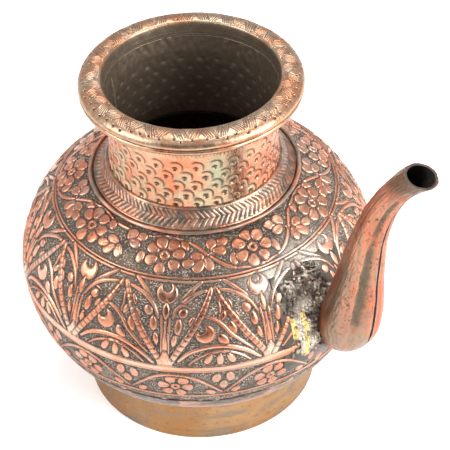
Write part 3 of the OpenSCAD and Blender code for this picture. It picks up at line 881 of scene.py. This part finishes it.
# ---------------------------------------------------------------- materials
class Mat:
    """A node material built up by short calls; sockets are passed about as values."""

    def __init__(self, name):
        self.mat = bpy.data.materials.new(name)
        self.mat.use_nodes = True
        self.tree = self.mat.node_tree
        self.tree.nodes.clear()
        self.coord = self.node("ShaderNodeTexCoord").outputs["Object"]

    def node(self, kind, **props):
        n = self.tree.nodes.new(kind)
        for key, value in props.items():
            setattr(n, key, value)
        return n

    def put(self, socket, value):
        if isinstance(value, bpy.types.NodeSocket):
            self.tree.links.new(value, socket)
        elif isinstance(value, tuple) and len(value) == 3 and socket.type == "RGBA":
            socket.default_value = (*value, 1)
        else:
            socket.default_value = value

    def attr(self, name):
        return self.node("ShaderNodeAttribute", attribute_name=name).outputs["Fac"]

    def noise(self, scale, detail=3.0, rough=0.55, stretch=None):
        n = self.node("ShaderNodeTexNoise")
        self.put(n.inputs["Vector"], self.squeeze(stretch) if stretch else self.coord)
        n.inputs["Scale"].default_value = scale
        n.inputs["Detail"].default_value = detail
        n.inputs["Roughness"].default_value = rough
        return n.outputs["Fac"]

    def squeeze(self, xyz):
        m = self.node("ShaderNodeMapping")
        self.put(m.inputs["Vector"], self.coord)
        m.inputs["Scale"].default_value = xyz
        return m.outputs["Vector"]

    def ramp(self, value, a, b, lo=0.0, hi=1.0):
        n = self.node("ShaderNodeMapRange", interpolation_type="SMOOTHSTEP")
        self.put(n.inputs["Value"], value)
        for key, x in (("From Min", a), ("From Max", b), ("To Min", lo), ("To Max", hi)):
            n.inputs[key].default_value = x
        return n.outputs["Result"]

    def math(self, op, a, b=0.0):
        n = self.node("ShaderNodeMath", operation=op)
        self.put(n.inputs[0], a)
        self.put(n.inputs[1], b)
        return n.outputs[0]

    def mix(self, fac, a, b):
        n = self.node("ShaderNodeMix", data_type="RGBA")
        for socket, value in ((0, fac), (6, a), (7, b)):
            self.put(n.inputs[socket], value)
        return n.outputs[2]

    def tint(self, c, colour, fac, times):
        """c with colour over it by the product of two amounts."""
        return self.mix(self.math("MULTIPLY", fac, times), c, colour)

    def rises(self, noise, a, b, lo=0.0, hi=1.0):
        """A noise (scale, detail, roughness, stretch) eased from lo at a to hi at b."""
        return self.ramp(self.noise(*noise), a, b, lo, hi)

    def patch(self, c, colour, noise, a, b, most=1.0):
        """c with patches of colour over it, where a noise is above a to b."""
        return self.mix(self.rises(noise, a, b, 0.0, most), c, colour)

    def bump(self, height, strength, distance, under=None):
        n = self.node("ShaderNodeBump")
        self.put(n.inputs["Height"], height)
        n.inputs["Strength"].default_value = strength
        n.inputs["Distance"].default_value = distance
        if under is not None:
            self.put(n.inputs["Normal"], under)
        return n.outputs["Normal"]

    def finish(self, colour, metallic, roughness, normal=None):
        b = self.node("ShaderNodeBsdfPrincipled")
        self.put(b.inputs["Base Color"], colour)
        self.put(b.inputs["Metallic"], metallic)
        self.put(b.inputs["Roughness"], roughness)
        if normal is not None:
            self.put(b.inputs["Normal"], normal)
        out = self.node("ShaderNodeOutputMaterial")
        self.tree.links.new(b.outputs[0], out.inputs[0])
        return self.mat


COPPER = (0.54, 0.212, 0.122)
COPPER_PALE = (0.60, 0.355, 0.255)
COPPER_RED = (0.40, 0.125, 0.070)
GROUND = (0.050, 0.037, 0.029)
GROUND_LIGHT = (0.44, 0.355, 0.28)
OLIVE = (0.25, 0.23, 0.15)
GREY = (0.34, 0.30, 0.25)
SOOT = (0.040, 0.032, 0.026)
INSIDE = (0.125, 0.092, 0.064)
BRASS_DARK = (0.13, 0.085, 0.045)


def copper_tones(m):
    """Salmon copper that drifts between redder, paler and browned patches."""
    c = m.patch(COPPER, COPPER_PALE, (38, 4), 0.42, 0.68)
    c = m.patch(c, COPPER_RED, (27, 5, 0.6), 0.54, 0.70, 0.7)
    c = m.patch(c, (0.30, 0.20, 0.14), (17, 4, 0.6), 0.50, 0.72, 0.55)
    return m.patch(c, GREY, (170, 4, 0.7), 0.52, 0.70, 0.55)


def chased_copper():
    m = Mat("chased_copper")
    up, cut, tone, inside = (m.attr(k) for k in ("raised", "cut", "tone", "inside"))
    copper = m.tint(copper_tones(m), (0.50, 0.44, 0.34), tone, m.rises((90, 4), 0.35, 0.6))
    # painted reflection: the front of the belly darkened to red-brown
    copper = m.tint(copper, (0.25, 0.085, 0.052), m.attr("painted_dark_reflection"), 0.6)
    # darker low on the bowl
    copper = m.tint(copper, (0.24, 0.13, 0.085), m.attr("darker_low"), 0.35)
    flecks = m.rises((1150, 2, 0.5, (1, 1, 1.5)), 0.49, 0.61)
    ground = m.patch(GROUND, (0.10, 0.070, 0.050), (60, 4), 0.35, 0.65)
    ground = m.tint(ground, GROUND_LIGHT, flecks, m.rises((160, 3), 0.35, 0.62, 0.3, 0.9))
    on = m.ramp(up, 0.30, 0.62)
    c = m.mix(on, ground, copper)
    # painted highlight: a whitish glare above the spout's root
    c = m.tint(c, (0.74, 0.66, 0.57), m.attr("painted_glare"), m.rises((190, 4, 0.7), 0.36, 0.54, 0.35, 1.0))
    c = m.mix(inside, m.tint(c, SOOT, cut, 0.85), INSIDE)
    metal = m.math("MULTIPLY", m.ramp(on, 0, 1, 0.55, 0.95), m.ramp(cut, 0, 1, 1, 0.5))
    rough = m.math("ADD", m.ramp(on, 0, 1, 0.46, 0.24), m.rises((260, 4), 0.3, 0.8, 0, 0.26))
    n = m.bump(m.math("MULTIPLY", flecks, m.ramp(on, 0, 1, 1, 0)), 0.8, 0.0005)
    return m.finish(c, metal, rough, m.bump(m.noise(900, 3, 0.6), 0.22, 0.0002, n))


def plain_copper(name="plain_copper", dark=0.5):
    m = Mat(name)
    c = m.patch(copper_tones(m), (0.24, 0.18, 0.14), (60, 5, 0.6), 0.40, 0.62)
    c = m.patch(c, (0.08, 0.065, 0.05), (35, 3), 0.5, 0.7, dark)
    c = m.tint(c, (0.070, 0.056, 0.042), m.attr("sooty"), m.rises((110, 5, 0.65), 0.34, 0.56, 0.25, 0.95))
    c = m.mix(m.attr("inside"), c, INSIDE)
    return m.finish(c, 0.9, m.rises((300, 4), 0.3, 0.8, 0.34, 0.58),
                    m.bump(m.noise(240, 4, 0.6), 0.35, 0.0005))


def neck_copper():
    m = Mat("neck_copper")
    cut, inside = m.attr("cut"), m.attr("inside")
    c = m.patch((0.50, 0.178, 0.093), (0.50, 0.285, 0.180), (30, 3), 0.42, 0.66)
    c = m.patch(c, (0.40, 0.33, 0.21), (24, 4, 0.6), 0.48, 0.60, 0.85)
    c = m.tint(c, (0.30, 0.29, 0.185), m.attr("patina"), m.rises((70, 5, 0.65), 0.32, 0.55, 0.3, 1.0))
    c = m.tint(c, (0.20, 0.135, 0.09), m.attr("shade"), 0.6)
    c = m.patch(c, OLIVE, (190, 4, 0.7), 0.52, 0.72, 0.6)
    c = m.tint(c, (0.045, 0.035, 0.022), cut, 0.95)
    dark = m.mix(m.ramp(cut, 0.1, 0.8, 0, 0.5), INSIDE, (0.14, 0.105, 0.075))
    c = m.mix(inside, c, dark)
    metal = m.math("MULTIPLY", m.ramp(cut, 0, 1, 0.94, 0.4), m.ramp(inside, 0, 1, 1, 0.7))
    rough = m.math("ADD", m.rises((300, 4), 0.3, 0.8, 0.20, 0.40), m.ramp(inside, 0, 1, 0, 0.12))
    return m.finish(c, metal, rough, m.bump(m.noise(700, 4, 0.6), 0.3, 0.0003))


def collar_copper():
    m = Mat("collar_copper")
    cut = m.attr("cut")
    c = m.patch((0.42, 0.180, 0.105), (0.52, 0.37, 0.27), (34, 3), 0.42, 0.66)
    c = m.patch(c, (0.135, 0.115, 0.09), (140, 4, 0.7), 0.42, 0.62, 0.85)
    c = m.tint(c, SOOT, cut, 0.95)
    return m.finish(c, m.ramp(cut, 0, 1, 0.94, 0.5), m.rises((300, 4), 0.3, 0.8, 0.30, 0.52),
                    m.bump(m.noise(700, 4, 0.6), 0.3, 0.0003))


def rim_copper():
    m = Mat("rim_copper")
    cut, tone, inside = (m.attr(k) for k in ("cut", "tone", "inside"))
    c = m.patch((0.42, 0.188, 0.100), (0.39, 0.275, 0.185), (40, 4), 0.38, 0.66)
    c = m.tint(c, (0.42, 0.34, 0.24), tone, m.rises((75, 4), 0.42, 0.6, 0, 0.7))
    c = m.patch(c, (0.20, 0.145, 0.10), (420, 4, 0.7), 0.50, 0.68, 0.6)
    c = m.mix(inside, m.tint(c, (0.045, 0.033, 0.025), cut, 0.95), INSIDE)
    rough = m.math("ADD", m.rises((320, 4), 0.3, 0.8, 0.26, 0.44), m.ramp(inside, 0, 1, 0, 0.1))
    metal = m.math("MULTIPLY", m.ramp(cut, 0, 1, 0.94, 0.5), m.ramp(inside, 0, 1, 1, 0.7))
    return m.finish(c, metal, rough, m.bump(m.noise(800, 4, 0.6), 0.2, 0.0002))


def foot_brass():
    m = Mat("foot_brass")
    c = m.patch((0.30, 0.150, 0.058), (0.36, 0.22, 0.115), (24, 5, 0.6), 0.38, 0.64)
    c = m.patch(c, (0.22, 0.165, 0.12), (60, 5, 0.65, (1, 1, 4)), 0.46, 0.62, 0.85)
    c = m.patch(c, BRASS_DARK, (420, 4, 0.7), 0.54, 0.72, 0.65)
    c = m.tint(c, BRASS_DARK, m.attr("cut"), 0.5)
    rough = m.rises((180, 5, 0.6, (1, 1, 6)), 0.3, 0.8, 0.30, 0.52)
    return m.finish(c, 0.94, rough, m.bump(m.noise(300, 4, 0.6, (1, 1, 5)), 0.25, 0.0003))


def spout_copper():
    m = Mat("spout_copper")
    valley, seam, along_it, inside = (m.attr(k) for k in ("valley", "seam", "along", "inside"))
    c = m.patch((0.40, 0.122, 0.062), (0.43, 0.200, 0.120), (45, 4, 0.6, (1, 1, 0.35)), 0.40, 0.64)
    c = m.patch(c, (0.235, 0.180, 0.128), (32, 6, 0.68, (1, 1, 0.3)), 0.45, 0.59, 0.85)
    c = m.patch(c, (0.19, 0.135, 0.10), (420, 5, 0.7, (1, 1, 0.14)), 0.48, 0.66, 0.5)
    c = m.patch(c, (0.155, 0.115, 0.085), (110, 5, 0.7), 0.56, 0.66, 0.7)
    ragged = m.math("ADD", m.math("MULTIPLY", valley, 0.55), m.noise(105, 6, 0.75))
    c = m.mix(m.ramp(ragged, 0.70, 1.12, 0, 0.92), c, (0.085, 0.074, 0.050))
    pits = m.rises((700, 4, 0.75), 0.565, 0.63)
    c = m.tint(c, (0.05, 0.035, 0.028), pits, m.rises((34, 2), 0.38, 0.58, 0.35, 0.95))
    c = m.tint(c, (0.095, 0.070, 0.050), m.ramp(along_it, 0.87, 0.97),
               m.rises((120, 4, 0.7), 0.3, 0.55, 0.45, 0.9))
    c = m.mix(m.ramp(seam, 0.62, 0.92), c, (0.020, 0.014, 0.011))
    c = m.mix(inside, c, (0.014, 0.011, 0.009))
    metal = m.math("MULTIPLY", m.ramp(seam, 0.4, 0.9, 0.92, 0.2), m.ramp(inside, 0, 1, 1, 0.2))
    rough = m.math("ADD", m.rises((220, 4, 0.6, (1, 1, 0.3)), 0.3, 0.8, 0.30, 0.50),
                   m.math("MULTIPLY", valley, 0.15))
    n = m.bump(pits, 0.5, -0.0004)
    return m.finish(c, metal, rough, m.bump(m.noise(420, 4, 0.6, (1, 1, 0.4)), 0.35, 0.0005, n))


def rough_solder():
    m = Mat("rough_solder")
    c = m.patch((0.130, 0.108, 0.085), (0.52, 0.47, 0.39), (85, 4, 0.6), 0.40, 0.62)
    c = m.patch(c, (0.34, 0.17, 0.10), (55, 3), 0.56, 0.7, 0.6)
    c = m.mix(m.ramp(m.attr("lump"), 0.9, 0.0, 0, 0.92), c, (0.050, 0.040, 0.031))
    c = m.mix(m.ramp(m.attr("shade"), 0.35, 1.0, 0, 0.75), c, (0.030, 0.025, 0.020))
    yellow = m.mix(m.noise(240, 3), (0.56, 0.36, 0.08), (0.72, 0.60, 0.26))
    c = m.mix(m.ramp(m.attr("braze"), 0.25, 0.6, 0, 0.95), c, yellow)
    return m.finish(c, 0.8, m.rises((240, 4), 0.3, 0.8, 0.26, 0.56),
                    m.bump(m.noise(300, 4, 0.6), 0.5, 0.0007))


def plain_floor():
    m = Mat("pale_floor")
    return m.finish(m.patch((0.96, 0.96, 0.955), (0.97, 0.97, 0.965), (3, 2), 0.3, 0.7), 0.0, 0.9)


# ---------------------------------------------------------------- build the jug
def dress(piece, material):
    piece.data.materials.clear()
    piece.data.materials.append(material)


def round_section(r, z, radius, n=16):
    """Points of a wire's round section."""
    return [(r + radius * math.cos(a), z + radius * math.sin(a))
            for a in np.linspace(math.pi / 2, -3 * math.pi / 2, n, endpoint=False)]


def build():
    chased, plain, neck, rim_metal = chased_copper(), plain_copper(), neck_copper(), rim_copper()
    for name, node, s0, s1, step, cols, chase in (
            ("upper_shell_shoulder", "upper_shell", COLLAR_S, SPLIT_S, 0.42, 1080, chase_shoulder),
            ("upper_shell_zigzag", "upper_shell", SPLIT_S, WIDEST, 0.56, 1060, chase_zigzag),
            ("lower_bowl_flowers", "lower_bowl", WIDEST, BASE_S, 0.5, 1060, chase_flowers)):
        dress(chased_piece(name, [node], s0, s1, step, cols, chase), chased)
    dress(bowl_piece(), plain)
    dress(neck_piece(), neck)
    r = 45.05                                             # the collar's inner radius, against the neck
    collar = [(r + x, crown_z(r + (x if x >= 2 else 0)) + up) for x, up in (
        (-1.3, 7.0), (-0.2, 7.4), (1.2, 6.2), (2.6, 4.6), (4.6, 2.8), (7.0, 1.6), (7.3, 0.3), (4.5, 0.1),
        (2, 0.1), (-0.6, 0.1), (-1.3, 3))]
    dress(section_piece("collar_band_herringbone", ["collar_band"], collar, 980, 0.42, collar_work, n=12,
                        wave=0.05), collar_copper())
    wire = 1.2
    bead = round_section(top("collar_bead", 0) - wire, middle_z("collar_bead"), wire)
    dress(section_piece("collar_bead_wire", ["collar_bead"], bead, 620, 0.42, wave=0.12, seed=55),
          plain_copper("bead_copper", 0.25))
    s = RIM_R
    t = RIM_TOP - 0.9                                     # height of the lip
    rim = [(43.35, t - 7.42), (43.7, t - 4.4), (44.3, t - 1.4), (45.0, t), (46.9, t + 0.7), (49.1, t + 0.9),
           (s - 5, t + 0.6), (s - 2.6, t - 0.3), (s - 0.9, t - 1.6), (s - 0.1, t - 3), (s, t - 3.8),
           (s - 0.4, t - 4.7), (s - 1.6, t - 5.1), (s - 3.4, t - 5.4), (s - 5, t - 6.6),
           (46.5, t - 9.0), (45.4, t - 8.0)]
    dress(section_piece("rim_ring_hatched", ["rim_ring"], rim, 1500, 0.32, rim_work, n=6, within=44.7),
          rim_metal)
    wire = 1.45
    lip = round_section(top("lip_bead", 0) - wire, middle_z("lip_bead"), wire)
    dress(section_piece("lip_bead_ring", ["lip_bead"], lip, 620, 0.45, seed=57), rim_metal)
    f, ft = FOOT_R, FOOT_R - 3.8
    i = ft - 2.8
    foot = [(ft, bowl_z(ft) - 0.15), (ft + 0.3, bowl_z(ft) - 4), (f - 2.6, 13), (f - 1, 6), (f - 0.1, 2),
            (f, 0.6), (f - 0.3, 0.02), (f - 1.8, 0.0), (f - 3.4, 0.05), (f - 4.4, 6), (f - 5.8, 13),
            (i + 0.2, bowl_z(i) - 3), (i, bowl_z(i) - 0.2)]
    dress(section_piece("foot_ring_turned", ["foot_ring"], foot, 760, 0.6, foot_work, n=8, wave=0.0,
                        sharp=40), foot_brass())
    spout, solder = spout_copper(), rough_solder()
    dress(spout_half(-1, "spout_left_half_fluted", "spout_left_half"), spout)
    dress(spout_half(1, "spout_right_half_fluted", "spout_right_half"), spout)
    dress(root_solder(-1, "root_solder_left_lumps", "root_solder_left"), solder)
    dress(root_solder(1, "root_solder_right_lumps", "root_solder_right"), solder)
    dress(seam_strip(), neck)
    for node, metal in (("belly_seam_braze", plain), ("foot_solder", solder)):
        for material_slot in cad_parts[node].material_slots:
            material_slot.material = metal


build()


# ---------------------------------------------------------------- stage, light and camera
AIM = Vector((0, 0, 0.1))                # what lights and card face, in metres


def stage():
    bpy.ops.mesh.primitive_plane_add(size=9.0, location=(0, 0, -0.0002))
    floor = bpy.context.object
    floor.name = "floor"
    floor.data.materials.append(plain_floor())


def area(name, place, size, power):
    """A soft light facing AIM."""
    data = bpy.data.lights.new(name, "AREA")
    data.shape = "RECTANGLE"
    data.size, data.size_y = size
    data.energy = power
    lamp = bpy.data.objects.new(name, data)
    lamp.location = place
    lamp.rotation_euler = (AIM - Vector(place)).to_track_quat("-Z", "Y").to_euler()
    bpy.context.collection.objects.link(lamp)


def card(name, place, size, shade):
    """A plain card facing AIM that only shows as a reflection in the metal."""
    bpy.ops.mesh.primitive_plane_add(size=1.0, location=place)
    obj = bpy.context.object
    obj.name = name
    obj.scale = (*size, 1)
    obj.rotation_euler = (AIM - Vector(place)).to_track_quat("Z", "Y").to_euler()
    m = Mat(name)
    obj.data.materials.append(m.finish((shade, shade * 0.9, shade * 0.8), 0.0, 1.0))
    obj.visible_camera = obj.visible_diffuse = obj.visible_shadow = False


def lights():
    world = bpy.data.worlds.new("studio")
    bpy.context.scene.world = world
    world.use_nodes = True
    back = world.node_tree.nodes["Background"]
    back.inputs["Color"].default_value = (0.97, 0.98, 1.0, 1)
    back.inputs["Strength"].default_value = 0.84
    area("softbox_left", (-1.5, -0.5, 1.2), (0.9, 1.3), 28)
    area("softbox_right", (1.53, -0.82, 0.98), (1.1, 1.2), 74)
    area("softbox_top", (0.2, 0.6, 2.0), (1.2, 0.9), 24)
    card("dark_card_front", (-0.05, -0.95, 0.52), (1.10, 0.90), 0.02)


def camera():
    """The main view: 41 degrees above, a long lens, leaning 2.5 degrees."""
    belly = BELLY_R / 1000
    far, el, roll = 9.0 * belly, 0.7223, -0.0433
    data = bpy.data.cameras.new("camera")
    data.lens = 127.67
    data.sensor_width = 36
    data.shift_x, data.shift_y = 0.0612, 0.0094
    data.clip_start, data.clip_end = 0.05, 20
    cam = bpy.data.objects.new("camera", data)
    bpy.context.collection.objects.link(cam)
    right, up = Vector((1, 0, 0)), Vector((0, math.sin(el), math.cos(el)))
    back = Vector((0, -math.cos(el), math.sin(el)))
    x = math.cos(roll) * right + math.sin(roll) * up
    y = math.cos(roll) * up - math.sin(roll) * right
    place = Vector((0, 0, belly)) + far * back
    cam.matrix_world = Matrix(((x[0], y[0], back[0], place[0]), (x[1], y[1], back[1], place[1]),
                               (x[2], y[2], back[2], place[2]), (0, 0, 0, 1)))
    bpy.context.scene.camera = cam


stage()
lights()
camera()
bpy.context.scene.view_settings.view_transform = "Standard"
bpy.context.view_layer.update()
